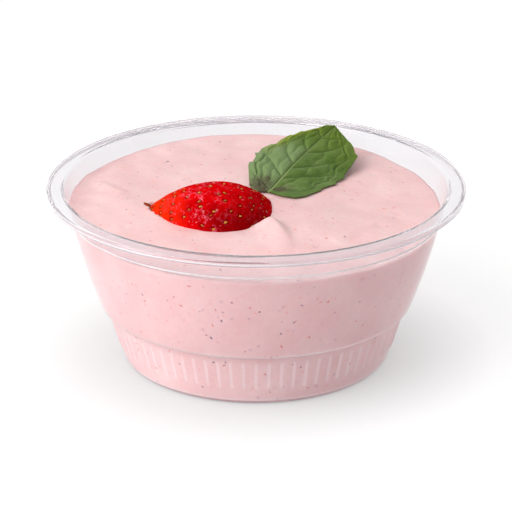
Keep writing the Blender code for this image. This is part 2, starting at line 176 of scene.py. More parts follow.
# Flecks in the mousse: name, the two ends of the colour, then the ones with a place of their own on the
# top (x and y in mm, size) and on the side (degrees, height in mm, size), how many more are strewn over
# the top and the side, and the length and width of one
FLECK_KINDS = (
    (
        "dark",
        ((0.24, 0.12, 0.20), (0.46, 0.25, 0.35)),
        ((-22.5, 26.0, 1.0), (-8.0, 27.5, 0.7), (21.0, -20.0, 0.8), (34.0, 22.0, 0.8)),
        (
            (-101.0, 25.6, 0.9),
            (-128.0, 29.0, 0.8),
            (-89.0, 28.5, 0.9),
            (-78.0, 25.0, 0.8),
            (-82.0, 22.0, 0.8),
        ),
        5,
        10,
        0.9 * MM,
        0.6 * MM,
    ),
    (
        "red",
        ((0.72, 0.16, 0.13), (0.88, 0.34, 0.24)),
        ((-14.0, 24.0, 0.9), (-30.0, -14.0, 0.8)),
        ((-104.0, 24.0, 1.0), (-70.0, 30.0, 0.9)),
        34,
        120,
        1.0 * MM,
        0.42 * MM,
    ),
    ("plum", ((0.46, 0.22, 0.33), (0.66, 0.38, 0.46)), (), (), 34, 120, 0.75 * MM, 0.5 * MM),
)

# The mint leaf
LEAF_BASE = (2.95 * MM, 3.75 * MM, 40.28 * MM)
LEAF_TIP = (20.2 * MM, 34.1 * MM, 46.98 * MM)
LEAF_HALF_WIDTH = 11.2 * MM
# The toothed margins, as shares of the length and of the half width
LEAF_LEFT_EDGE = (
    (0.0, 0.0), (-0.03, 0.20), (-0.03, 0.38), (0.01, 0.49), (0.10, 0.66),
    (0.20, 0.85), (0.245, 0.90), (0.255, 0.84), (0.33, 0.89), (0.375, 0.99),
    (0.385, 0.92), (0.45, 0.95), (0.535, 0.85), (0.54, 0.77), (0.62, 0.74),
    (0.70, 0.65), (0.71, 0.58), (0.785, 0.50), (0.79, 0.44), (0.89, 0.25),
    (0.97, 0.15), (1.0, 0.0),
)
LEAF_RIGHT_EDGE = (
    (0.0, 0.0), (-0.015, 0.25), (-0.015, 0.45), (0.005, 0.68), (0.07, 0.83),
    (0.15, 0.89), (0.23, 0.97), (0.25, 0.93), (0.33, 0.99), (0.40, 1.07),
    (0.42, 1.0), (0.53, 1.06), (0.55, 1.01), (0.69, 1.0), (0.795, 0.96),
    (0.80, 0.88), (0.86, 0.73), (0.89, 0.61), (0.895, 0.55), (0.95, 0.25),
    (1.0, 0.0),
)
LEAF_THICKNESS = 0.42 * MM
LEAF_LEFT_FALL = math.radians(8)
LEAF_RIGHT_FALL = math.radians(20)
LEAF_ARCH = 0.8 * MM
LEAF_WAVE = 0.4 * MM
LEAF_ROWS = 168
LEAF_COLUMNS = 112
LEAF_CLEARANCE = 0.35 * MM
# Where each side vein leaves the midrib, as shares of its length
LEFT_VEINS = (0.01, 0.20, 0.38, 0.585, 0.80)
RIGHT_VEINS = (0.05, 0.19, 0.33, 0.56, 0.79)
# How far each side vein leans to the tip by the time it meets the margin
LEFT_LEANS = (0.14, 0.26, 0.30, 0.26, 0.10)
RIGHT_LEANS = (0.08, 0.36, 0.45, 0.36, 0.12)
VEIN_CURVE = 1.15
VEIN_WIDTH = 0.34 * MM
VEIN_DEPTH = 0.34 * MM
PUFF_WIDTH = 0.95 * MM
PUFF_HEIGHT = 0.55 * MM
CELLS_ACROSS = 3
RIM_VEIN_PLACE = 0.80
# Grey-brown patches near the base: place along the midrib and across the half width, both as shares, and
# reach along the midrib
BASE_PATCHES = ((-0.02, -0.85, 0.13), (0.045, -0.60, 0.14), (0.10, -0.32, 0.11), (0.02, 0.42, 0.18))
# A share of the half width is this many shares of the length
BASE_PATCH_STRETCH = 0.42

# The light of the surroundings, and of the floor round the cup
HORIZON_LIGHT = 0.115
OVERHEAD_LIGHT = 0.98
# What shows through the plastic, and what it mirrors: bright behind the cup and dim in front
EDGE_LIGHT = 0.74
BACKDROP_LIGHT = 0.9
FRONT_LIGHT = 0.26
BACKDROP_START = 0.35
BACKDROP_END = 0.80
FLOOR_GLOW = 0.76
FLOOR_SHADE_REACH = 26 * MM
EDGE_TINT = (0.96, 0.93, 0.98, 1.0)
AROUND_TINT = (1.0, 0.972, 0.972, 1.0)
KEY_PLACE = (-0.642, -0.417, 0.67)
KEY_AIM = (0.0, 0.0, 0.03)
KEY_SIZE = 0.9
KEY_POWER = 8.9
KEY_COLOUR = (1.0, 0.995, 0.985)
FLOOR_HALF_SIZE = 3.0

CAMERA_AIM = (-0.05 * MM, 0.0, 24.86 * MM)
CAMERA_DISTANCE = 600 * MM
CAMERA_ELEVATION = math.radians(22.22)
CAMERA_LENS = 171.1
CAMERA_SENSOR = 36.0


# ---------------------------------------------------------------- meshes


def add_piece(name, points, faces, material, replaced=(), crease=None, attributes=None):
    """Make a smooth mesh piece that rides on the part's one body."""
    mesh = bpy.data.meshes.new(name)
    mesh.from_pydata([tuple(point) for point in points], [], faces)
    mesh.update()
    mesh.shade_smooth()
    if crease:
        mesh.set_sharp_from_angle(angle=math.radians(crease))
    for label, values in (attributes or {}).items():
        layer = mesh.attributes.new(label, "FLOAT", "POINT")
        layer.data.foreach_set("value", np.asarray(values, dtype=np.float32))
    mesh.materials.append(material)
    item = bpy.data.objects.new(name, mesh)
    bpy.context.scene.collection.objects.link(item)
    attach(item, "root")
    if replaced:
        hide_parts(*replaced)


def wrapped_faces(rows, columns, first=0):
    """Quads between rings of vertices, numbered ring by ring."""
    faces = []
    for row in range(rows - 1):
        low = first + row * columns
        high = low + columns
        for column in range(columns):
            following = (column + 1) % columns
            faces.append((low + column, low + following, high + following, high + column))
    return faces


def closed_rings(rings, bottom, top):
    """Points and faces of a body of stacked rings closed by a middle point at each end."""
    count = len(rings[0])
    points = np.concatenate([np.array([bottom])] + rings + [np.array([top])])
    faces = wrapped_faces(len(rings), count, 1)
    last_ring = 1 + (len(rings) - 1) * count
    last = len(points) - 1
    for column in range(count):
        following = (column + 1) % count
        faces.append((0, 1 + following, 1 + column))
        faces.append((last, last_ring + column, last_ring + following))
    return points, faces


def ring(radius, across, back, z):
    """Points round the axis, from a radius and the cosine and sine of each angle."""
    return np.stack((radius * across, radius * back, np.broadcast_to(z, across.shape)), axis=1)


def arc(centre, radius, start, end, steps):
    angles = np.radians(np.linspace(start, end, steps + 1))
    return [(centre[0] + radius * math.cos(angle), centre[1] + radius * math.sin(angle)) for angle in angles]


def smoothstep(low, high, value):
    share = np.clip((value - low) / (high - low), 0.0, 1.0)
    return share * share * (3 - 2 * share)


# ---------------------------------------------------------------- the cup


def wall_radius(z):
    depth = LEDGE_BOTTOM - z
    return WALL_TOP_RADIUS - WALL_SLOPE * depth - WALL_BEND * depth * depth


def lower_wall_radius(z):
    return STEP_RADIUS - LOWER_SLOPE * (STEP_HEIGHT - z)


def foot_points():
    wall_angle = math.atan(LOWER_SLOPE)
    tangent = FOOT_ROUND * math.tan((math.pi / 2 - wall_angle) / 2)
    centre = (lower_wall_radius(0.0) - tangent, FOOT_ROUND)
    return arc(centre, FOOT_ROUND, -90, -math.degrees(wall_angle), 7)


def shoulder_points():
    contact = STEP_HEIGHT + 0.65 * SHOULDER_ROUND
    slope = WALL_SLOPE + 2 * WALL_BEND * (LEDGE_BOTTOM - contact)
    wall_angle = math.atan(slope)
    contact = STEP_HEIGHT + SHOULDER_ROUND * (1 - math.sin(wall_angle))
    centre = (wall_radius(contact) - SHOULDER_ROUND * math.cos(wall_angle), STEP_HEIGHT + SHOULDER_ROUND)
    return arc(centre, SHOULDER_ROUND, -90, -math.degrees(wall_angle), 7)


def outer_path():
    path = [(0.0, PANEL_RISE), (PANEL_RADIUS, PANEL_RISE), (FOOT_INNER_RADIUS, 0.0)]
    path += foot_points()
    path.append((STEP_RADIUS, STEP_HEIGHT))
    shoulder = shoulder_points()
    path += shoulder
    heights = np.linspace(shoulder[-1][1], LEDGE_BOTTOM, 10)[1:]
    path += [(wall_radius(z), z) for z in heights]
    path += [(COLLAR_BOTTOM_RADIUS, COLLAR_BOTTOM), (COLLAR_TOP_RADIUS, COLLAR_TOP)]
    return path


def offset_path(path, distance):
    """The path moved inwards, to the left of its direction, with mitred corners."""
    points = [np.array(point) for point in path]
    moved = []
    for index, point in enumerate(points):
        normals = []
        for first, second in ((index - 1, index), (index, index + 1)):
            if first >= 0 and second < len(points):
                direction = points[second] - points[first]
                direction = direction / np.linalg.norm(direction)
                normals.append(np.array((-direction[1], direction[0])))
        normal = sum(normals) / len(normals)
        moved.append(tuple(point + normal * distance / np.dot(normal, normals[0])))
    moved[0] = (0.0, moved[0][1])
    return moved


def flange_points():
    lip_bottom = FLANGE_TOP - LIP_DEPTH
    outer_top = FLANGE_TOP - FLANGE_FALL
    under = [
        (FLANGE_INNER_RADIUS, FLANGE_TOP - FLANGE_THICKNESS),
        (RIM_RADIUS - LIP_THICKNESS - LIP_ROUND, outer_top - FLANGE_THICKNESS),
        (RIM_RADIUS - LIP_THICKNESS, lip_bottom),
        (RIM_RADIUS, lip_bottom + 0.15 * MM),
    ]
    edge = arc((RIM_RADIUS - LIP_ROUND, outer_top - LIP_ROUND), LIP_ROUND, 0, 90, 9)
    mouth = arc((FLANGE_INNER_RADIUS, FLANGE_TOP - MOUTH_ROUND), MOUTH_ROUND, 90, 180, 14)
    return under + edge + mouth


def rounded(path, radius, steps=5):
    """The path with every corner sharper than a few degrees replaced by a small arc-like curve."""
    points = [np.array(point) for point in path]
    result = [tuple(points[0])]
    for before, point, after in zip(points, points[1:], points[2:]):
        into = before - point
        out = after - point
        bend = math.acos(np.clip(np.dot(into, out) / np.linalg.norm(into) / np.linalg.norm(out), -1, 1))
        if math.degrees(math.pi - bend) < 12:
            result.append(tuple(point))
            continue
        reach = min(radius, 0.45 * np.linalg.norm(into), 0.45 * np.linalg.norm(out))
        start = point + into / np.linalg.norm(into) * reach
        end = point + out / np.linalg.norm(out) * reach
        for share in np.linspace(0, 1, steps + 1):
            curve = (1 - share) ** 2 * start + 2 * share * (1 - share) * point + share**2 * end
            result.append(tuple(curve))
    result.append(tuple(points[-1]))
    return result


def rib_rows():
    low = [RIB_BOTTOM + inset * MM for inset in RIB_END_ROWS]
    high = [RIB_TOP - inset * MM for inset in reversed(RIB_END_ROWS)]
    return [(lower_wall_radius(z), z) for z in low + high]


def build_cup(material):
    outer = outer_path()
    step = outer.index((STEP_RADIUS, STEP_HEIGHT))
    outer_with_ribs = outer[:step] + rib_rows() + outer[step:]
    inside = offset_path(outer, WALL)
    profile = rounded(outer_with_ribs + flange_points() + list(reversed(inside)), CORNER_ROUND)
    pitch = 2 * math.pi / RIBS
    offsets = pitch * (np.arange(RIB_COLUMNS) / RIB_COLUMNS - 0.5)
    centres = pitch * (np.arange(RIBS) + 0.5)
    angles = (centres[:, None] + offsets[None, :]).ravel()
    rng = np.random.default_rng(SEED)
    strength = np.repeat(rng.uniform(0.7, 1.0, RIBS), len(offsets))
    sideways = np.tile(offsets, RIBS)
    normal = np.array((1.0, -LOWER_SLOPE)) / math.hypot(1.0, LOWER_SLOPE)
    half = 0.5 * RIB_WIDTH
    rings = []
    for radius, z in profile[1:-1]:
        ring_radius = np.full(len(angles), radius)
        ring_z = np.full(len(angles), z)
        on_wall = abs(radius - lower_wall_radius(z)) < 1e-7
        if on_wall and RIB_BOTTOM < z < RIB_TOP:
            beyond = max(RIB_BOTTOM + half - z, z - RIB_TOP + half, 0.0)
            distance = np.hypot(sideways * radius, beyond)
            rise = RIB_HEIGHT * strength * smoothstep(0.0, RIB_DRAFT, half - distance)
            ring_radius = ring_radius + rise * normal[0]
            ring_z = ring_z + rise * normal[1]
        rings.append(ring(ring_radius, np.cos(angles), np.sin(angles), ring_z))
    points, faces = closed_rings(rings, (0, 0, profile[0][1]), (0, 0, profile[-1][1]))
    add_piece("cup_shell", points, faces, material, ("cup",), crease=60)


def build_highlight_rings(material):
    """One piece with every painted highlight ring: thin pale rings set in the cup's wall."""
    around = 2 * math.pi * np.arange(HIGHLIGHT_RING_COLUMNS) / HIGHLIGHT_RING_COLUMNS
    section = 2 * math.pi * np.arange(HIGHLIGHT_RING_SIDES) / HIGHLIGHT_RING_SIDES
    points = []
    faces = []
    for radius, height, half_depth, half_height in HIGHLIGHT_RINGS:
        first = len(points)
        for angle in around:
            reach = radius + half_depth * np.cos(section)
            z = height + half_height * np.sin(section)
            points += list(np.stack((reach * math.cos(angle), reach * math.sin(angle), z), axis=1))
        for column in range(HIGHLIGHT_RING_COLUMNS):
            here = first + column * HIGHLIGHT_RING_SIDES
            there = first + (column + 1) % HIGHLIGHT_RING_COLUMNS * HIGHLIGHT_RING_SIDES
            for side in range(HIGHLIGHT_RING_SIDES):
                following = (side + 1) % HIGHLIGHT_RING_SIDES
                faces.append((here + side, there + side, there + following, here + following))
    add_piece("highlight_rings", points, faces, material)


# ---------------------------------------------------------------- the mousse


def bump(x, y, centre, size, height):
    square = (x - centre[0]) ** 2 + (y - centre[1]) ** 2
    return height * np.exp(-square / (size * size))


def ridge(x, y, start, end, left_width, right_width, height, bow=0.0, taper=0.0):
    """A long swelling from start to end; it can bow sideways and fade towards its end."""
    along = np.array(end) - np.array(start)
    length = float(np.linalg.norm(along))
    along = along / length
    place = ((x - start[0]) * along[0] + (y - start[1]) * along[1]) / length
    inside = np.clip(place, 0.0, 1.0)
    side = -(x - start[0]) * along[1] + (y - start[1]) * along[0] - bow * 4 * inside * (1 - inside)
    beyond = (place - inside) * length
    width = np.where(side < 0, left_width, right_width)
    fade = (1 - inside) ** taper if taper else 1.0
    end_width = 0.5 * max(left_width, right_width)
    return height * fade * np.exp(-((side / width) ** 2) - (beyond / end_width) ** 2)


def mousse_height(x, y):
    share = (x * x + y * y) / (FILL_RADIUS * FILL_RADIUS)
    z = FILL_LEVEL + FILL_TILT_RIGHT * x + FILL_TILT_BACK * y + DOME_HEIGHT * (1 - share)
    calm = np.maximum(0.0, 1 - share * share)
    z = z + calm * LONG_WAVE_HEIGHT * np.sin(x / LONG_WAVE + LONG_WAVE_SWAY * np.sin(y / SWAY_WAVE))
    z = z + calm * SHORT_WAVE_HEIGHT * np.sin(y / SHORT_WAVE - SHORT_WAVE_SLANT * x / SHORT_WAVE)
    for centre, size, height in DIPS:
        z = z + bump(x, y, centre, size, height)
    for start, end, width, height in SPATULA_MARKS:
        z = z + ridge(x, y, start, end, width, width, height)
    return z + ridge(
        x,
        y,
        CREST_START,
        CREST_END,
        CREST_LEFT_WIDTH,
        CREST_RIGHT_WIDTH,
        CREST_HEIGHT,
        bow=CREST_BOW,
        taper=CREST_TAPER,
    )


def small_relief(x, y, rng):
    """Spatula marks, soft lumps and pits a few millimetres wide."""
    z = np.zeros_like(x)
    for _ in range(SMALL_WAVES):
        angle = rng.uniform(0, 2 * math.pi)
        wave = rng.uniform(1.6, 5.0) * MM
        shift = rng.uniform(0, 2 * math.pi)
        z += 0.0045 * wave * np.sin((x * math.cos(angle) + y * math.sin(angle)) / wave * 2.2 + shift)
    for _ in range(PITS):
        angle = rng.uniform(0, 2 * math.pi)
        radius = FILL_RADIUS * math.sqrt(rng.uniform(0, 0.95))
        size = rng.uniform(0.5, 1.1) * MM
        z += bump(x, y, (radius * math.cos(angle), radius * math.sin(angle)), size, -0.22 * size)
    return z


def path_radius(path, z):
    """The path's radius at each height above the foot."""
    rising = path[FOOT_POINTS:]
    return np.interp(z, [point[1] for point in rising], [point[0] for point in rising])


def build_mousse(material):
    side = offset_path(outer_path(), SINK_IN_WALL)
    angles = 2 * math.pi * np.arange(MOUSSE_COLUMNS) / MOUSSE_COLUMNS
    across = np.cos(angles)
    back = np.sin(angles)
    fixed = [point for point in rounded(side, CORNER_ROUND)[1:] if point[1] < LEDGE_BOTTOM - 3.0 * MM]
    rings = [ring(radius, across, back, z) for radius, z in fixed]
    radius = np.full_like(across, FILL_RADIUS)
    # The level at the wall and the wall's radius at that level settle in a few rounds
    for _ in range(4):
        top = mousse_height(radius * across, radius * back)
        radius = path_radius(side, top)
    for share in np.linspace(0, 1, 9)[1:-1]:
        z = fixed[-1][1] + share * (top - fixed[-1][1])
        ring_radius = path_radius(side, z)
        rings.append(ring(ring_radius, across, back, z))
    for step in range(MOUSSE_RINGS):
        share = 1 - step / MOUSSE_RINGS
        x = share * radius * across
        y = share * radius * back
        z = mousse_height(x, y) + small_relief(x, y, np.random.default_rng(SEED))
        covered = inside_berry(x, y, SOCKET_MARGIN)
        z = np.where(covered, SOCKET_LEVEL, z)
        rings.append(np.stack((x, y, z), axis=1))
    centre = np.zeros(1)
    middle = float(mousse_height(centre, centre)[0])
    if inside_berry(centre, centre, SOCKET_MARGIN)[0]:
        middle = SOCKET_LEVEL
    points, faces = closed_rings(rings, (0, 0, side[0][1]), (0, 0, middle))
    add_piece("mousse_fill", points, faces, material, ("mousse",))


# ---------------------------------------------------------------- the strawberry half


def berry_profile(share, front, back):
    widest = front / (front + back)
    peak = widest**front * (1 - widest) ** back
    return share**front * (1 - share) ** back / peak


def berry_point(share, turn, depth=0.0):
    """Points of the skin; turn runs from 0 at the front cut edge to pi at the back one."""
    swell = berry_profile(share, *BERRY_PLAN_ENDS)
    lift = berry_profile(share, *BERRY_LIFT_ENDS)
    stub = BERRY_STUB_RADIUS * np.exp(-((share / BERRY_STUB_LENGTH) ** 4))
    side_width = np.where(turn < math.pi / 2, BERRY_FRONT_WIDTH, BERRY_BACK_WIDTH)
    half_width = np.maximum(side_width * swell, stub) - depth
    height = np.maximum(BERRY_HEIGHT * lift, 2 * stub + BERRY_EDGE_HEIGHT) - depth
    x = BERRY_TIP[0] + (BERRY_SHOULDER[0] - BERRY_TIP[0]) * share
    y = BERRY_TIP[1] + (BERRY_SHOULDER[1] - BERRY_TIP[1]) * share + BERRY_BOW * 4 * share * (1 - share)
    y = y - half_width * np.cos(turn)
    z = BERRY_CUT_LEVEL + height * np.sin(turn)
    return np.stack(np.broadcast_arrays(x, y, z), axis=-1)


def inside_berry(x, y, margin):
    """Where a point of the plan lies inside the berry's outline by more than a margin."""
    share = (x - BERRY_TIP[0]) / (BERRY_SHOULDER[0] - BERRY_TIP[0])
    held = np.clip(share, 0.001, 0.999)
    centre = BERRY_TIP[1] + (BERRY_SHOULDER[1] - BERRY_TIP[1]) * held + BERRY_BOW * 4 * held * (1 - held)
    swell = berry_profile(held, *BERRY_PLAN_ENDS)
    across = y - centre
    width = np.where(across < 0, BERRY_FRONT_WIDTH, BERRY_BACK_WIDTH) * swell
    # The skin leans in above the cut, so the outline is narrower at the mousse's top
    return (share > 0.05) & (share < 0.95) & (np.abs(across) < 0.96 * width - margin)


def berry_share(even):
    return 0.5 * even + 0.5 * (0.5 - 0.5 * np.cos(math.pi * even))


def seed_places(rng):
    """Share and turn of every seed, on the lattice that the part has, slightly uneven."""
    places = []
    for row in range(PART_STEPS // SEED_PITCH):
        even = (SEED_PITCH * row + 1) / PART_STEPS
        first = 3 if row % 2 else 1
        crowded = row == 0 or row == PART_STEPS // SEED_PITCH - 1
        for side in range(first, PART_SIDES, SEED_PITCH * (2 if crowded else 1)):
            turn = math.pi * side / PART_SIDES + rng.uniform(-0.13, 0.13)
            share = float(berry_share(np.clip(even + rng.uniform(-0.026, 0.026), 0.02, 0.98)))
            places.append((share, turn))
    return places


def seed_frame(share, turn):
    """A seed's place on the skin with the directions along, across and out of it."""
    step = 1e-3
    here = berry_point(np.array(share), np.array(turn))
    along = berry_point(np.array(share + step), np.array(turn)) - here
    across = berry_point(np.array(share), np.array(turn + step)) - here
    along = along / np.linalg.norm(along)
    across = across - along * np.dot(across, along)
    across = across / np.linalg.norm(across)
    out = np.cross(along, across)
    if out[2] < 0 and math.pi * 0.15 < turn < math.pi * 0.85:
        out = -out
    centre = np.array((here[0], BERRY_TIP[1] + BERRY_BOW * 0.8, BERRY_CUT_LEVEL))
    if np.dot(out, here - centre) < 0:
        out = -out
    return here, along, across, out


def build_strawberry(skin, seed_material):
    rng = np.random.default_rng(SEED + 1)
    frames = [seed_frame(share, turn) for share, turn in seed_places(rng)]
    even = (np.arange(BERRY_STEPS - 1) + 1) / BERRY_STEPS
    share = berry_share(even)[:, None]
    turn = (math.pi * np.arange(BERRY_SIDES + 1) / BERRY_SIDES)[None, :]
    plain = berry_point(share, turn)
    depth = np.zeros(plain.shape[:2])
    near = np.zeros(plain.shape[:2])
    for here, along, across, _ in frames:
        offset = plain - here
        oval = ((offset @ along) / 1.15) ** 2 + ((offset @ across) / 0.9) ** 2
        reach = np.sqrt(oval + (offset**2).sum(-1) * 0.15)
        well = np.exp(-((reach / DIMPLE_RADIUS) ** 3))
        depth = np.maximum(depth, DIMPLE_DEPTH * well)
        near = np.maximum(near, np.exp(-((reach / (0.85 * DIMPLE_RADIUS)) ** 4)))
    fade = np.clip(5 * share, 0, 1) * np.clip(6 * (1 - share), 0, 1)
    fade = fade * smoothstep(0.0, 0.10, turn / math.pi) * smoothstep(0.0, 0.10, 1 - turn / math.pi)
    lumps = np.zeros_like(depth)
    for _ in range(BERRY_LUMPS):
        shift = rng.uniform(0, 2 * math.pi, 3)
        wave = rng.uniform(2.0, 5.0, 3) * MM
        ripple = 0.012 * MM * np.sin(plain[..., 0] / wave[0] + shift[0])
        lumps += ripple * np.sin(plain[..., 1] / wave[1] + shift[1])
    grid = berry_point(share, turn, fade * (depth + lumps))
    rows, columns = grid.shape[:2]
    points = grid.reshape(-1, 3)
    faces = []
    for row in range(rows - 1):
        for column in range(columns - 1):
            low = row * columns + column
            faces.append((low, low + columns, low + columns + 1, low + 1))
        low = row * columns
        faces.append((low + columns - 1, low + 2 * columns - 1, low + columns, low))
    middle = BERRY_CUT_LEVEL + 0.6 * MM
    tip = len(points)
    points = np.concatenate((points, [(*BERRY_TIP, middle), (*BERRY_SHOULDER, middle)]))
    last = (rows - 1) * columns
    for column in range(columns - 1):
        faces.append((tip, column, column + 1))
        faces.append((tip + 1, last + column + 1, last + column))
    faces.append((tip, columns - 1, 0))
    faces.append((tip + 1, last, last + columns - 1))
    stub = np.broadcast_to(np.exp(-((share / 0.06) ** 3)), depth.shape).ravel()
    share_values = np.broadcast_to(share, depth.shape).ravel()
    turn_values = np.broadcast_to(turn / math.pi, depth.shape).ravel()
    attributes = {
        "dimple": np.append(near.ravel(), (0, 0)),
        "stub": np.append(stub, (1, 0)),
        "length_share": np.append(share_values, (0, 1)),
        "turn_share": np.append(turn_values, (0.5, 0.5)),
    }
    add_piece(
        "strawberry_half",
        points,
        faces,
        skin,
        ("strawberry",),
        crease=80,
        attributes=attributes,
    )
    build_seeds(frames, seed_material, rng)


def ellipsoid(rows, columns):
    """Unit ball as points and faces with a pole at each end of X."""
    turns = [2 * math.pi * column / columns for column in range(columns)]
    rings = []
    for row in range(1, rows):
        angle = math.pi * row / rows
        out = math.sin(angle)
        section = [(-math.cos(angle), out * math.cos(turn), out * math.sin(turn)) for turn in turns]
        rings.append(np.array(section))
    return closed_rings(rings, (-1.0, 0.0, 0.0), (1.0, 0.0, 0.0))


def add_grain(points, faces, ball, ball_faces, centre, frame_ways, turn):
    """Add one small body to a list, turned by an angle about the direction out of the surface."""
    along, across, out = frame_ways
    length_way = along * math.cos(turn) + across * math.sin(turn)
    width_way = across * math.cos(turn) - along * math.sin(turn)
    faces += [tuple(index + len(points) for index in face) for face in ball_faces]
    points += list(centre + ball @ np.stack((length_way, width_way, out)))


def build_seeds(frames, material, rng):
    ball, ball_faces = ellipsoid(10, 12)
    # Teardrop: the end at +X is drawn out to a point
    taper = 1 - 0.45 * smoothstep(0.0, 1.0, ball[:, 0])
    drop = ball * np.stack((np.ones_like(taper), taper, taper), axis=1)
    points = []
    faces = []
    for here, along, across, out in frames:
        turn = rng.uniform(-0.7, 0.7)
        size = rng.uniform(0.55, 1.15)
        scaled = drop * np.array((0.5 * SEED_LENGTH, 0.5 * SEED_WIDTH, 0.5 * SEED_THICKNESS)) * size
        centre = here - out * (DIMPLE_DEPTH - 0.30 * SEED_THICKNESS)
        add_grain(points, faces, scaled, ball_faces, centre, (along, across, out), turn)
    add_piece("strawberry_seeds", points, faces, material)


# ---------------------------------------------------------------- the mint leaf


def leaf_margin(share, edge):
    """Where the row that leaves the midrib at this share meets the toothed margin."""
    steps = np.hypot(*np.diff(edge, axis=0).T)
    travel = np.concatenate(([0.0], np.cumsum(steps))) / steps.sum()
    place = share**0.8
    points = np.array(edge)
    return np.interp(place, travel, points[:, 0]), np.interp(place, travel, points[:, 1])


def leaf_grid():
    """Middle surface of the leaf with its vein pattern, as arrays over (row, column)."""
    base = np.array(LEAF_BASE)
    midrib = np.array(LEAF_TIP) - base
    length = float(np.linalg.norm(midrib))
    midrib = midrib / length
    lateral = np.cross(midrib, (0, 0, 1))
    lateral = lateral / np.linalg.norm(lateral)
    upward = np.cross(lateral, midrib)
    share = (0.004 + 0.996 * np.arange(LEAF_ROWS + 1) / LEAF_ROWS)[:, None]
    share = np.minimum(share, 0.9995)
    across = np.linspace(-1, 1, LEAF_COLUMNS + 1)[None, :]
    distance = np.abs(across)
    left = leaf_margin(share, LEAF_LEFT_EDGE)
    right = leaf_margin(share, LEAF_RIGHT_EDGE)
    margin_along = np.where(across > 0, right[0], left[0])
    margin_out = np.where(across > 0, right[1], left[1])
    along = share + (margin_along - share) * distance**1.3
    flat = margin_out * across * LEAF_HALF_WIDTH
    tilt = np.where(across > 0, -LEAF_RIGHT_FALL, -LEAF_LEFT_FALL)
    lift = np.sin(tilt) * flat
    lift = lift + LEAF_ARCH * np.sin(math.pi * np.clip(along, 0, 1))
    lift = lift + LEAF_WAVE * distance**2 * np.sin(2.6 * math.pi * along + 0.8)
    vein = np.zeros(flat.shape)
    minor = np.zeros(flat.shape)
    quilt = np.zeros(flat.shape)
    rng = np.random.default_rng(SEED + 4)
    sides = ((LEFT_VEINS, LEFT_LEANS, across <= 0), (RIGHT_VEINS, RIGHT_LEANS, across > 0))
    for starts, leans, is_side in sides:
        gaps = []
        for start, lean in zip(starts, leans):
            path = start + lean * distance**VEIN_CURVE
            slope = lean * VEIN_CURVE * distance ** (VEIN_CURVE - 1) * length / (LEAF_HALF_WIDTH * 0.9)
            gap = (along - path) * length / np.sqrt(1 + slope * slope)
            width = VEIN_WIDTH * (1.0 - 0.5 * distance)
            line = np.exp(-((gap / width) ** 2)) * (1 - 0.45 * distance)
            vein = np.where(is_side, np.maximum(vein, line), vein)
            gaps.append(np.abs(gap))
        # A vein that runs along inside the margin and joins the side veins' ends
        rim_place = RIM_VEIN_PLACE + 0.035 * np.sin(26 * along + (1.0 if starts is LEFT_VEINS else 2.6))
        rim_gap = (distance - rim_place) * LEAF_HALF_WIDTH
        line = 0.8 * np.exp(-((rim_gap / (0.8 * VEIN_WIDTH)) ** 2)) * smoothstep(0.06, 0.16, along)
        vein = np.where(is_side & (distance < RIM_VEIN_PLACE + 0.12), np.maximum(vein, line), vein)
        gaps.append(np.abs(rim_gap) + 0.4 * MM)
        nearest = np.minimum.reduce(gaps)
        # Which strip between two side veins a point is in, and the cross veins that divide the strip
        strip = np.zeros(flat.shape, dtype=int)
        for start, lean in zip(starts, leans):
            strip += along > start + lean * distance**VEIN_CURVE
        to_cross = np.full(flat.shape, 1.0)
        for number in range(len(starts) + 1):
            cuts = np.linspace(0.0, 1.0, CELLS_ACROSS + 1)[1:-1] + rng.uniform(-0.05, 0.05, CELLS_ACROSS - 1)
            sway = 0.035 * np.sin(along * 40 + number * 2.1)
            gap = np.minimum.reduce([np.abs(distance + sway - cut) for cut in cuts]) * LEAF_HALF_WIDTH
            to_cross = np.where(strip == number, gap, to_cross)
        cross = np.exp(-((to_cross / (0.26 * MM)) ** 2)) * (1 - smoothstep(0.85, 1.0, distance))
        minor = np.where(is_side, cross, minor)
        puff = 1 - np.exp(-((nearest / PUFF_WIDTH) ** 2))
        puff = puff * (1 - 0.6 * np.exp(-((to_cross / (0.8 * MM)) ** 2)))
        puff = puff * (1 - np.exp(-((np.abs(flat) / (1.3 * MM)) ** 2))) * (1 - smoothstep(0.8, 1.0, distance))
        quilt = np.where(is_side, puff, quilt)
    rib_width = (0.50 - 0.28 * share) * MM
    vein = np.maximum(vein, np.exp(-((flat / rib_width) ** 2)))
    midrib_line = np.exp(-((flat / (0.5 * rib_width)) ** 2))
    lift = lift + PUFF_HEIGHT * (quilt - 0.4)
    point = base + along[..., None] * length * midrib
    point = point + (np.cos(tilt) * flat)[..., None] * lateral + lift[..., None] * upward
    floor = mousse_height(point[..., 0], point[..., 1]) + LEAF_CLEARANCE + 0.5 * LEAF_THICKNESS
    point[..., 2] = np.maximum(point[..., 2], floor)
    return point, vein, minor, midrib_line, along, distance + 0 * share


def twice(values):
    """The same values for the upper and the lower face."""
    return np.concatenate((values.ravel(), values.ravel()))


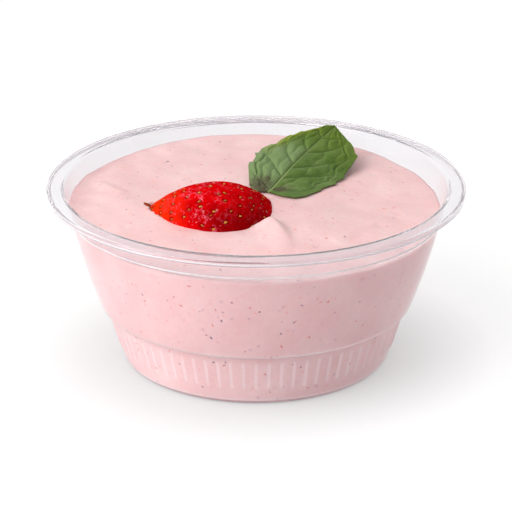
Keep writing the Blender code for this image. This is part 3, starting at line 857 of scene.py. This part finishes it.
def build_leaf(material):
    middle, vein, minor, midrib_line, along, distance = leaf_grid()
    edge_thin = 1 - 0.55 * smoothstep(0.8, 1.0, distance)
    half = 0.5 * LEAF_THICKNESS * edge_thin[..., None] * np.array((0, 0, 1))
    groove = np.maximum(vein, 0.45 * minor) * VEIN_DEPTH * (1 - smoothstep(0.85, 1.0, distance))
    groove = groove[..., None] * np.array((0, 0, 1))
    upper = middle + half - groove
    lower = middle - half - 0.8 * groove
    rows, columns = distance.shape
    points = np.concatenate((upper.reshape(-1, 3), lower.reshape(-1, 3)))
    below = rows * columns
    faces = []
    for row in range(rows - 1):
        for column in range(columns - 1):
            low = row * columns + column
            faces.append((low, low + 1, low + columns + 1, low + columns))
            faces.append((below + low, below + low + columns, below + low + columns + 1, below + low + 1))
    rim = list(range(columns))
    rim += [row * columns + columns - 1 for row in range(1, rows)]
    rim += [(rows - 1) * columns + column for column in range(columns - 2, -1, -1)]
    rim += [row * columns for row in range(rows - 2, 0, -1)]
    for index, first in enumerate(rim):
        second = rim[(index + 1) % len(rim)]
        faces.append((first, below + first, below + second, second))
    is_left = np.linspace(-1, 1, columns)[None, :] < 0
    attributes = {
        "vein": twice(vein),
        "minor_vein": twice(minor),
        "midrib": twice(midrib_line),
        "length_share": twice(along),
        "width_share": twice(np.where(is_left, -distance, distance)),
    }
    replaced = ("mint_leaf",)
    add_piece("mint", points, faces, material, replaced, crease=70, attributes=attributes)


# ---------------------------------------------------------------- fruit flecks in the mousse


def fleck_frame_on_top(x, y):
    step = 0.2 * MM
    xs = np.array((x, x + step, x))
    ys = np.array((y, y, y + step))
    z = mousse_height(xs, ys) + small_relief(xs, ys, np.random.default_rng(SEED))
    along = np.array((step, 0, z[1] - z[0]))
    across = np.array((0, step, z[2] - z[0]))
    out = np.cross(along, across)
    out = out / np.linalg.norm(out)
    along = along / np.linalg.norm(along)
    return np.array((x, y, z[0])), along, np.cross(out, along), out


def fleck_frame_on_side(angle, z, path):
    radius = float(path_radius(path, z))
    lower = float(path_radius(path, z - 0.2 * MM))
    rise = np.array(((radius - lower) * math.cos(angle), (radius - lower) * math.sin(angle), 0.2 * MM))
    rise = rise / np.linalg.norm(rise)
    around = np.array((-math.sin(angle), math.cos(angle), 0.0))
    out = np.cross(around, rise)
    return np.array((radius * math.cos(angle), radius * math.sin(angle), z)), around, rise, out


def build_flecks(name, material, rng, fixed_top, fixed_side, top_count, side_count, length, width):
    """One piece with every fleck of a kind: small flat grains lying in the mousse's skin."""
    path = offset_path(outer_path(), SINK_IN_WALL)
    frames = []
    for x, y, size in fixed_top:
        frames.append((*fleck_frame_on_top(x * MM, y * MM), size))
    for degrees, height, size in fixed_side:
        frames.append((*fleck_frame_on_side(math.radians(degrees), height * MM, path), size))
    while top_count > 0:
        radius = 44.0 * MM * math.sqrt(rng.uniform(0, 1))
        angle = rng.uniform(0, 2 * math.pi)
        x = radius * math.cos(angle)
        y = radius * math.sin(angle)
        if inside_berry(np.array((x,)), np.array((y,)), -1.0 * MM)[0]:
            continue
        frames.append((*fleck_frame_on_top(x, y), rng.uniform(0.5, 1.0)))
        top_count -= 1
    for _ in range(side_count):
        angle = rng.uniform(0, 2 * math.pi)
        height = rng.uniform(2.5, 34.5) * MM
        frames.append((*fleck_frame_on_side(angle, height, path), rng.uniform(0.5, 1.0)))
    ball, ball_faces = ellipsoid(6, 8)
    points = []
    faces = []
    for here, along, across, out, size in frames:
        turn = rng.uniform(0, math.pi)
        wobble = 1 + rng.uniform(-0.22, 0.22, (len(ball), 1))
        scaled = ball * wobble * np.array((0.5 * length, 0.5 * width, 0.11 * MM)) * np.array((size, size, 1))
        centre = here - out * 0.03 * MM
        add_grain(points, faces, scaled, ball_faces, centre, (along, across, out), turn)
    add_piece(name, points, faces, material)


# ---------------------------------------------------------------- materials


def feed(tree, socket, value):
    """Link a socket to another one, or set it to a plain value."""
    if isinstance(value, bpy.types.NodeSocket):
        tree.links.new(value, socket)
    else:
        socket.default_value = value


class Nodes:
    """Small helper that adds nodes to one material."""

    def __init__(self, name):
        self.material = bpy.data.materials.new(name)
        self.material.use_nodes = True
        self.tree = self.material.node_tree
        self.shader = self.tree.nodes["Principled BSDF"]
        self.place = self.add("ShaderNodeTexCoord").outputs["Object"]

    def add(self, kind, **inputs):
        node = self.tree.nodes.new(kind)
        for label, value in inputs.items():
            self.set(node, label.replace("_", " "), value)
        return node

    def set(self, node, label, value):
        feed(self.tree, node.inputs[label], value)

    def put(self, **inputs):
        for label, value in inputs.items():
            self.set(self.shader, label.replace("_", " "), value)

    def noise(self, size, detail=2.0, rough=0.5, distortion=0.0):
        node = self.add(
            "ShaderNodeTexNoise",
            Vector=self.place,
            Scale=1 / size,
            Detail=detail,
            Roughness=rough,
            Distortion=distortion,
        )
        return node.outputs["Fac"]

    def cells(self, size, feature="F1", sway=0.0):
        """Voronoi cells; sway moves their borders from side to side by about this much."""
        node = self.tree.nodes.new("ShaderNodeTexVoronoi")
        node.feature = feature
        place = self.place
        if sway:
            push = self.add("ShaderNodeTexNoise", Vector=place, Scale=1 / size, Detail=2.0).outputs["Color"]
            push = self.vector("SUBTRACT", push, (0.5, 0.5, 0.5))
            place = self.vector("ADD", place, self.vector("MULTIPLY", push, (4 * sway,) * 3))
        self.set(node, "Vector", place)
        self.set(node, "Scale", 1 / size)
        return node

    def ramp(self, fac, *stops):
        node = self.tree.nodes.new("ShaderNodeValToRGB")
        self.tree.links.new(fac, node.inputs["Fac"])
        band = node.color_ramp
        while len(band.elements) < len(stops):
            band.elements.new(0.5)
        for element, (position, colour) in zip(band.elements, stops):
            element.position = position
            element.color = (*colour, 1.0) if isinstance(colour, tuple) else (colour, colour, colour, 1.0)
        return node.outputs["Color"]

    def blend(self, fac, first, second, mode="MIX"):
        node = self.tree.nodes.new("ShaderNodeMix")
        node.data_type = "RGBA"
        node.blend_type = mode
        self.set_index(node, 0, fac)
        self.set_index(node, 6, first)
        self.set_index(node, 7, second)
        return node.outputs[2]

    def paint(self, colour, mask, amount, tint):
        """A tint laid over a colour, by an amount where the mask is 1."""
        return self.blend(self.times(mask, amount), colour, tint)

    def set_index(self, node, index, value):
        feed(self.tree, node.inputs[index], (*value, 1.0) if isinstance(value, tuple) else value)

    def maths(self, operation, first, second=0.0):
        node = self.tree.nodes.new("ShaderNodeMath")
        node.operation = operation
        self.set_index(node, 0, first)
        self.set_index(node, 1, second)
        return node.outputs[0]

    def times(self, first, second):
        return self.maths("MULTIPLY", first, second)

    def hypotenuse(self, first, second):
        squares = [self.times(side, side) for side in (first, second)]
        return self.maths("SQRT", self.maths("ADD", *squares))

    def vector(self, operation, first, second):
        node = self.tree.nodes.new("ShaderNodeVectorMath")
        node.operation = operation
        for index, value in enumerate((first, second)):
            feed(self.tree, node.inputs[index], value)
        return node.outputs[0]

    def attribute(self, name):
        node = self.tree.nodes.new("ShaderNodeAttribute")
        node.attribute_name = name
        return node.outputs["Fac"]

    def bump(self, height, distance, strength=1.0, normal=None):
        node = self.add("ShaderNodeBump", Height=height, Distance=distance, Strength=strength)
        if normal:
            self.tree.links.new(normal, node.inputs["Normal"])
        return node.outputs["Normal"]


def clear_plastic():
    """Slightly milky clear plastic that refracts for the eye and lets lamps shine through to the mousse."""
    nodes = Nodes("clear_plastic_look")
    nodes.put(Base_Color=(0.885, 0.875, 0.895, 1.0), Roughness=0.03, IOR=1.31, Transmission_Weight=0.93)
    output = nodes.tree.nodes["Material Output"]
    light_path = nodes.tree.nodes.new("ShaderNodeLightPath")
    see_through = nodes.tree.nodes.new("ShaderNodeBsdfTransparent")
    see_through.inputs["Color"].default_value = (0.80, 0.79, 0.80, 1.0)
    mixed = nodes.tree.nodes.new("ShaderNodeMixShader")
    nodes.tree.links.new(light_path.outputs["Is Shadow Ray"], mixed.inputs[0])
    nodes.tree.links.new(nodes.shader.outputs[0], mixed.inputs[1])
    nodes.tree.links.new(see_through.outputs[0], mixed.inputs[2])
    nodes.tree.links.new(mixed.outputs[0], output.inputs["Surface"])
    return nodes.material


def painted_highlight_plastic():
    """Pale, slightly rough plastic for the rings that paint highlights along the cup's lip and ledge."""
    nodes = Nodes("painted_highlight_ring_look")
    colour = nodes.ramp(nodes.noise(6 * MM, 2.0), (0.3, (0.76, 0.715, 0.735)), (0.7, (0.83, 0.79, 0.805)))
    nodes.put(Base_Color=colour, Roughness=0.45, Specular_IOR_Level=0.2)
    return nodes.material


def rib_pattern(nodes):
    """1 behind each rib of the cup, from the angle round the axis and the height, 0 elsewhere."""
    split = nodes.add("ShaderNodeSeparateXYZ", Vector=nodes.place)
    x, y, z = split.outputs
    turn = nodes.maths("DIVIDE", nodes.maths("ARCTAN2", y, x), 2 * math.pi / RIBS)
    place_in_pitch = nodes.maths("FRACT", nodes.maths("ADD", turn, RIBS))
    off_centre = nodes.maths("ABSOLUTE", nodes.maths("SUBTRACT", place_in_pitch, 0.5))
    radius = nodes.hypotenuse(x, y)
    sideways = nodes.times(nodes.times(off_centre, radius), 2 * math.pi / RIBS)
    half = 0.5 * RIB_WIDTH
    low = nodes.maths("MAXIMUM", nodes.maths("SUBTRACT", RIB_BOTTOM + half, z), 0.0)
    high = nodes.maths("MAXIMUM", nodes.maths("SUBTRACT", z, RIB_TOP - half), 0.0)
    beyond = nodes.maths("MAXIMUM", low, high)
    distance = nodes.times(nodes.hypotenuse(sideways, beyond), 1 / half)
    return nodes.ramp(nodes.times(distance, 0.5), (0.30, 1.0), (0.52, 0.0))


def mousse_look():
    nodes = Nodes("mousse_look")
    wide = nodes.noise(9 * MM, 3.0, 0.6)
    colour = nodes.ramp(
        wide,
        (0.30, (0.90, 0.57, 0.57)),
        (0.55, (0.92, 0.625, 0.62)),
        (0.75, (0.94, 0.67, 0.66)),
    )
    grain = nodes.noise(0.9 * MM, 4.0, 0.65)
    colour = nodes.blend(0.30, colour, nodes.ramp(grain, (0.35, 0.86), (0.65, 1.0)), "MULTIPLY")
    # Purple and orange specks, the fine ones sharp and the larger ones soft where they lie deeper
    specks = (
        (1.9 * MM, 0.11, 0.55, (0.66, 0.38, 0.46)),
        (2.5 * MM, 0.10, 0.75, (0.93, 0.38, 0.27)),
        (3.6 * MM, 0.14, 0.50, (0.90, 0.30, 0.30)),
        (4.9 * MM, 0.13, 0.50, (0.60, 0.34, 0.44)),
        (3.7 * MM, 0.20, 0.30, (0.92, 0.42, 0.38)),
    )
    for size, radius, strength, tint in specks:
        cell = nodes.cells(size)
        speck = nodes.ramp(cell.outputs["Distance"], (radius * 0.3, strength), (radius, 0.0))
        colour = nodes.blend(speck, colour, tint)
    # Painted highlight: the mousse is painted paler behind each rib, standing in for the pale lines the ribs
    # catch in the light
    rib = rib_pattern(nodes)
    colour = nodes.paint(colour, rib, 0.30, (0.98, 0.88, 0.90))
    # Painted highlight and painted shade: behind the step in the wall a pale line over a dark one, and so at
    # the foot
    height = nodes.add("ShaderNodeSeparateXYZ", Vector=nodes.place).outputs[2]
    low, high = PRESSED_BAND
    span = high + 4 * MM
    band = nodes.ramp(
        nodes.times(height, 1 / span),
        ((low - 0.5 * MM) / span, 0.0),
        ((low + 0.5 * MM) / span, 1.0),
        ((high - 0.8 * MM) / span, 1.0),
        (high / span, 0.0),
    )
    colour = nodes.blend(band, colour, (0.935, 0.905, 0.91), "MULTIPLY")
    # The pale lines are painted highlights, the dark ones painted shade
    for middle, half, strength, tint in STEP_HIGHLIGHT_AND_SHADE_LINES:
        off = nodes.maths("ABSOLUTE", nodes.maths("SUBTRACT", height, middle))
        off = nodes.times(off, 1 / half)
        colour = nodes.blend(nodes.ramp(off, (0.3, strength), (1.0, 0.0)), colour, tint)
    nodes.put(Base_Color=colour, Roughness=nodes.ramp(wide, (0.3, 0.42), (0.7, 0.55)))
    nodes.put(Subsurface_Weight=0.30, Subsurface_Scale=1.2 * MM, Subsurface_Radius=(1.0, 0.45, 0.4))
    fine = nodes.bump(grain, 0.08 * MM, 0.5)
    nodes.put(Normal=nodes.bump(nodes.noise(3.2 * MM, 2.0), 0.30 * MM, 0.4, fine))
    return nodes.material


def berry_look():
    nodes = Nodes("berry_look")
    patches = nodes.noise(5 * MM, 3.0, 0.55)
    red = nodes.ramp(
        patches,
        (0.30, (0.52, 0.001, 0.002)),
        (0.5, (0.70, 0.001, 0.003)),
        (0.72, (0.86, 0.003, 0.004)),
    )
    # Orange at the tip, deep red at the stalk end, and painted shade that makes it darkest low on the right
    # of the front
    length_share = nodes.attribute("length_share")
    turn_share = nodes.attribute("turn_share")
    tip = nodes.ramp(length_share, (0.06, 1.0), (0.36, 0.0))
    red = nodes.paint(red, tip, 0.85, (0.95, 0.040, 0.004))
    stalk_end = nodes.ramp(length_share, (0.58, 0.0), (0.88, 1.0))
    red = nodes.paint(red, stalk_end, 0.45, (0.36, 0.001, 0.004))
    # Painted shade low on the right of the front
    right = nodes.ramp(length_share, (0.36, 0.0), (0.54, 1.0))
    uneven_turn = nodes.maths("ADD", turn_share, nodes.times(0.12, patches))
    low = nodes.ramp(uneven_turn, (0.20, 1.0), (0.40, 0.0))
    red = nodes.blend(nodes.times(0.80, nodes.times(right, low)), red, (0.22, 0.0005, 0.002))
    # Painted shade in the dimples round the seeds
    dimple = nodes.ramp(nodes.attribute("dimple"), (0.2, 0.0), (0.75, 1.0))
    red = nodes.paint(red, dimple, 0.65, (0.24, 0.002, 0.003))
    # Painted highlight: a fine pale pink network between the seeds, mostly left of the middle, standing in
    # for the lamp's glints on the wrinkled skin
    net = nodes.cells(1.35 * MM, "DISTANCE_TO_EDGE", sway=0.55 * MM)
    line = nodes.ramp(net.outputs["Distance"], (0.015, 1.0), (0.085, 0.0))
    where = nodes.ramp(nodes.noise(2.4 * MM, 2.0, 0.6), (0.49, 0.0), (0.60, 1.0))
    left = nodes.ramp(length_share, (0.14, 0.0), (0.24, 1.0), (0.52, 1.0), (0.66, 0.15))
    left = nodes.times(left, where)
    highlight_net_mask = nodes.times(0.62, nodes.times(line, left))
    red = nodes.blend(highlight_net_mask, red, (0.96, 0.15, 0.24))
    stub = nodes.ramp(nodes.attribute("stub"), (0.25, 0.0), (0.55, 1.0))
    red = nodes.blend(stub, red, (0.27, 0.050, 0.014))
    nodes.put(Base_Color=red, Roughness=0.20, Specular_IOR_Level=0.0)
    # Small wet spots glint
    wet = nodes.ramp(nodes.noise(0.95 * MM, 1.0), (0.65, 0.0), (0.69, 1.0))
    nodes.put(Coat_Weight=wet, Coat_Roughness=0.12)
    ridges = nodes.bump(nodes.ramp(net.outputs["Distance"], (0.0, 1.0), (0.16, 0.0)), 0.10 * MM, 0.8)
    fine = nodes.bump(nodes.noise(0.6 * MM, 3.0), 0.05 * MM, 0.6, ridges)
    nodes.put(Normal=nodes.bump(nodes.noise(2.2 * MM, 2.0), 0.30 * MM, 0.6, fine))
    return nodes.material


def seed_look():
    nodes = Nodes("seed_look")
    between = nodes.ramp(
        nodes.noise(2.6 * MM, 1.0),
        (0.36, (0.44, 0.11, 0.010)),
        (0.5, (0.66, 0.25, 0.022)),
        (0.66, (0.78, 0.46, 0.08)),
    )
    grain = nodes.ramp(nodes.noise(0.5 * MM, 2.0), (0.35, 0.55), (0.65, 1.0))
    colour = nodes.blend(0.5, between, grain, "MULTIPLY")
    nodes.put(Base_Color=colour, Roughness=0.35, Specular_IOR_Level=0.3)
    nodes.put(Normal=nodes.bump(nodes.noise(0.3 * MM, 2.0), 0.03 * MM, 0.5))
    return nodes.material


def mint_look():
    nodes = Nodes("mint_look")
    patches = nodes.noise(4 * MM, 4.0, 0.6)
    green = nodes.ramp(
        patches,
        (0.28, (0.070, 0.135, 0.022)),
        (0.5, (0.115, 0.195, 0.042)),
        (0.75, (0.195, 0.280, 0.095)),
    )
    length_share = nodes.attribute("length_share")
    width_share = nodes.attribute("width_share")
    to_left = nodes.times(width_share, -1.0)
    # Paler on the left of the midrib, and yellower at the tip and along the raised left margin
    pale_half = nodes.ramp(to_left, (0.0, 0.0), (0.10, 1.0))
    pale_half = nodes.times(pale_half, nodes.ramp(length_share, (0.52, 1.0), (0.68, 0.0)))
    green = nodes.paint(green, pale_half, 0.62, (0.235, 0.335, 0.150))
    tip = nodes.ramp(length_share, (0.50, 0.0), (0.85, 1.0))
    green = nodes.paint(green, tip, 0.80, (0.125, 0.205, 0.016))
    outer_left = nodes.ramp(to_left, (0.66, 0.0), (0.92, 1.0))
    upper = nodes.ramp(length_share, (0.40, 0.0), (0.56, 1.0))
    outer_left = nodes.times(outer_left, upper)
    green = nodes.paint(green, outer_left, 0.75, (0.26, 0.32, 0.022))
    # Darker grey-brown patches on both sides of the base
    blotch = nodes.ramp(nodes.noise(3 * MM, 3.0, 0.6), (0.36, 0.0), (0.50, 1.0))
    low_left = nodes.ramp(length_share, (0.04, 1.0), (0.14, 0.0))
    low_left = nodes.times(low_left, nodes.ramp(width_share, (0.0, 1.0), (0.05, 0.0)))
    green = nodes.paint(green, low_left, 0.55, (0.155, 0.165, 0.085))
    for centre_along, centre_out, reach in BASE_PATCHES:
        off_along = nodes.maths("SUBTRACT", length_share, centre_along)
        off_out = nodes.times(BASE_PATCH_STRETCH, nodes.maths("SUBTRACT", width_share, centre_out))
        distance = nodes.times(nodes.hypotenuse(off_along, off_out), 1 / reach)
        patch = nodes.times(nodes.ramp(distance, (0.35, 1.0), (0.80, 0.0)), blotch)
        green = nodes.paint(green, patch, 0.92, (0.080, 0.062, 0.036))
    net = nodes.cells(1.1 * MM, "DISTANCE_TO_EDGE")
    line = nodes.ramp(net.outputs["Distance"], (0.0, 1.0), (0.07, 0.0))
    green = nodes.paint(green, line, 0.14, (0.22, 0.32, 0.11))
    # Painted shade in the sunken grooves of the cross veins and the side veins
    minor = nodes.ramp(nodes.attribute("minor_vein"), (0.3, 0.0), (0.9, 1.0))
    green = nodes.paint(green, minor, 0.25, (0.07, 0.12, 0.03))
    vein = nodes.ramp(nodes.attribute("vein"), (0.35, 0.0), (0.80, 1.0))
    green = nodes.paint(green, vein, 0.60, (0.050, 0.092, 0.020))
    crest = nodes.ramp(nodes.attribute("vein"), (0.84, 0.0), (0.97, 1.0))
    green = nodes.paint(green, crest, 0.50, (0.26, 0.34, 0.12))
    midrib = nodes.ramp(nodes.attribute("midrib"), (0.45, 0.0), (0.85, 1.0))
    lower_part = nodes.ramp(length_share, (0.30, 0.75), (0.60, 0.22))
    green = nodes.blend(nodes.times(midrib, lower_part), green, (0.36, 0.43, 0.18))
    sheen_roughness = nodes.ramp(patches, (0.3, 0.42), (0.7, 0.55))
    nodes.put(Base_Color=green, Roughness=sheen_roughness, Specular_IOR_Level=0.15)
    nodes.put(Subsurface_Weight=0.08, Subsurface_Scale=0.5 * MM, Subsurface_Radius=(0.5, 1.0, 0.2))
    cushion = nodes.bump(net.outputs["Distance"], 0.22 * MM, 0.5)
    nodes.put(Normal=nodes.bump(nodes.noise(0.5 * MM, 3.0), 0.05 * MM, 0.5, cushion))
    return nodes.material


def fleck_look(name, dark, light):
    nodes = Nodes(name)
    nodes.put(Base_Color=nodes.ramp(nodes.noise(1.1 * MM, 2.0), (0.3, dark), (0.7, light)), Roughness=0.4)
    return nodes.material


def floor_look():
    nodes = Nodes("floor_look")
    colour = nodes.ramp(nodes.noise(60 * MM, 2.0), (0.3, (0.295, 0.295, 0.30)), (0.7, (0.305, 0.305, 0.305)))
    nodes.put(Base_Color=colour, Roughness=0.9, Specular_IOR_Level=0.0)
    # The glow stands for light from all round, so it fades where the cup hides the surroundings
    open_sky = nodes.add("ShaderNodeAmbientOcclusion", Distance=FLOOR_SHADE_REACH)
    open_sky.samples = 8
    glow = nodes.times(nodes.ramp(open_sky.outputs["AO"], (0.0, 0.45), (1.0, 1.0)), FLOOR_GLOW)
    nodes.put(Emission_Color=(1.0, 1.0, 1.0, 1.0), Emission_Strength=glow)
    return nodes.material


# ---------------------------------------------------------------- light, floor and camera


def add_lamp(name, place, aim, size, power, colour):
    data = bpy.data.lights.new(name, "AREA")
    data.shape = "DISK"
    data.size = size
    data.energy = power
    data.color = colour
    lamp = bpy.data.objects.new(name, data)
    lamp.location = place
    direction = Vector(aim) - Vector(place)
    lamp.rotation_euler = direction.to_track_quat("-Z", "Y").to_euler()
    bpy.context.scene.collection.objects.link(lamp)


def mix_inputs(tree, mask, first, second, colours=False):
    """A mix of two numbers or two colours, each a socket or a plain value."""
    node = tree.nodes.new("ShaderNodeMix")
    if colours:
        node.data_type = "RGBA"
    tree.links.new(mask, node.inputs[0])
    places = (6, 7) if colours else (2, 3)
    for index, value in zip(places, (first, second)):
        feed(tree, node.inputs[index], value)
    return node.outputs[2 if colours else 0]


def map_range(tree, value, low, high, start=0.0, end=1.0):
    """Low below the start of a number's range, high above its end and even in between."""
    node = tree.nodes.new("ShaderNodeMapRange")
    tree.links.new(value, node.inputs["Value"])
    for label, number in (("From Min", start), ("From Max", end), ("To Min", low), ("To Max", high)):
        node.inputs[label].default_value = number
    return node.outputs["Result"]


def add_world():
    """Soft white surroundings, bright overhead, dim round the horizon and pale behind the plastic's edges."""
    world = bpy.data.worlds.new("studio")
    bpy.context.scene.world = world
    world.use_nodes = True
    tree = world.node_tree
    background = tree.nodes["Background"]
    coordinates = tree.nodes.new("ShaderNodeTexCoord")
    split = tree.nodes.new("ShaderNodeSeparateXYZ")
    square = tree.nodes.new("ShaderNodeMath")
    square.operation = "MULTIPLY"
    tree.links.new(coordinates.outputs["Generated"], split.inputs[0])
    tree.links.new(split.outputs["Z"], square.inputs[0])
    tree.links.new(split.outputs["Z"], square.inputs[1])
    light_path = tree.nodes.new("ShaderNodeLightPath")
    sky = map_range(tree, square.outputs[0], HORIZON_LIGHT, OVERHEAD_LIGHT)
    backdrop = map_range(tree, split.outputs["Y"], FRONT_LIGHT, BACKDROP_LIGHT, BACKDROP_START, BACKDROP_END)
    mirrored = mix_inputs(tree, light_path.outputs["Is Glossy Ray"], sky, backdrop)
    through = light_path.outputs["Is Transmission Ray"]
    strength = mix_inputs(tree, through, mirrored, EDGE_LIGHT)
    tree.links.new(strength, background.inputs["Strength"])
    tint = mix_inputs(tree, through, AROUND_TINT, EDGE_TINT, colours=True)
    tree.links.new(tint, background.inputs["Color"])


def add_floor():
    size = FLOOR_HALF_SIZE
    mesh = bpy.data.meshes.new("floor")
    corners = [(-size, -size, 0.0), (size, -size, 0.0), (size, size, 0.0), (-size, size, 0.0)]
    mesh.from_pydata(corners, [], [(0, 1, 2, 3)])
    mesh.materials.append(floor_look())
    floor = bpy.data.objects.new("floor", mesh)
    bpy.context.scene.collection.objects.link(floor)


def add_camera():
    data = bpy.data.cameras.new("camera")
    data.lens = CAMERA_LENS
    data.sensor_width = CAMERA_SENSOR
    data.clip_start = 0.01
    camera = bpy.data.objects.new("camera", data)
    aim = Vector(CAMERA_AIM)
    back = Vector((0.0, -math.cos(CAMERA_ELEVATION), math.sin(CAMERA_ELEVATION)))
    camera.location = aim + CAMERA_DISTANCE * back
    camera.rotation_euler = (math.pi / 2 - CAMERA_ELEVATION, 0.0, 0.0)
    bpy.context.scene.collection.objects.link(camera)
    bpy.context.scene.camera = camera


build_cup(clear_plastic())
build_highlight_rings(painted_highlight_plastic())
build_mousse(mousse_look())
build_strawberry(berry_look(), seed_look())
build_leaf(mint_look())
draws = np.random.default_rng(SEED + 2)
for fleck_name, colours, *placing in FLECK_KINDS:
    build_flecks(f"{fleck_name}_flecks", fleck_look(f"{fleck_name}_fleck_look", *colours), draws, *placing)
add_floor()
add_world()
add_lamp("key", KEY_PLACE, KEY_AIM, KEY_SIZE, KEY_POWER, KEY_COLOUR)
add_camera()
bpy.context.scene.view_settings.view_transform = "Standard"
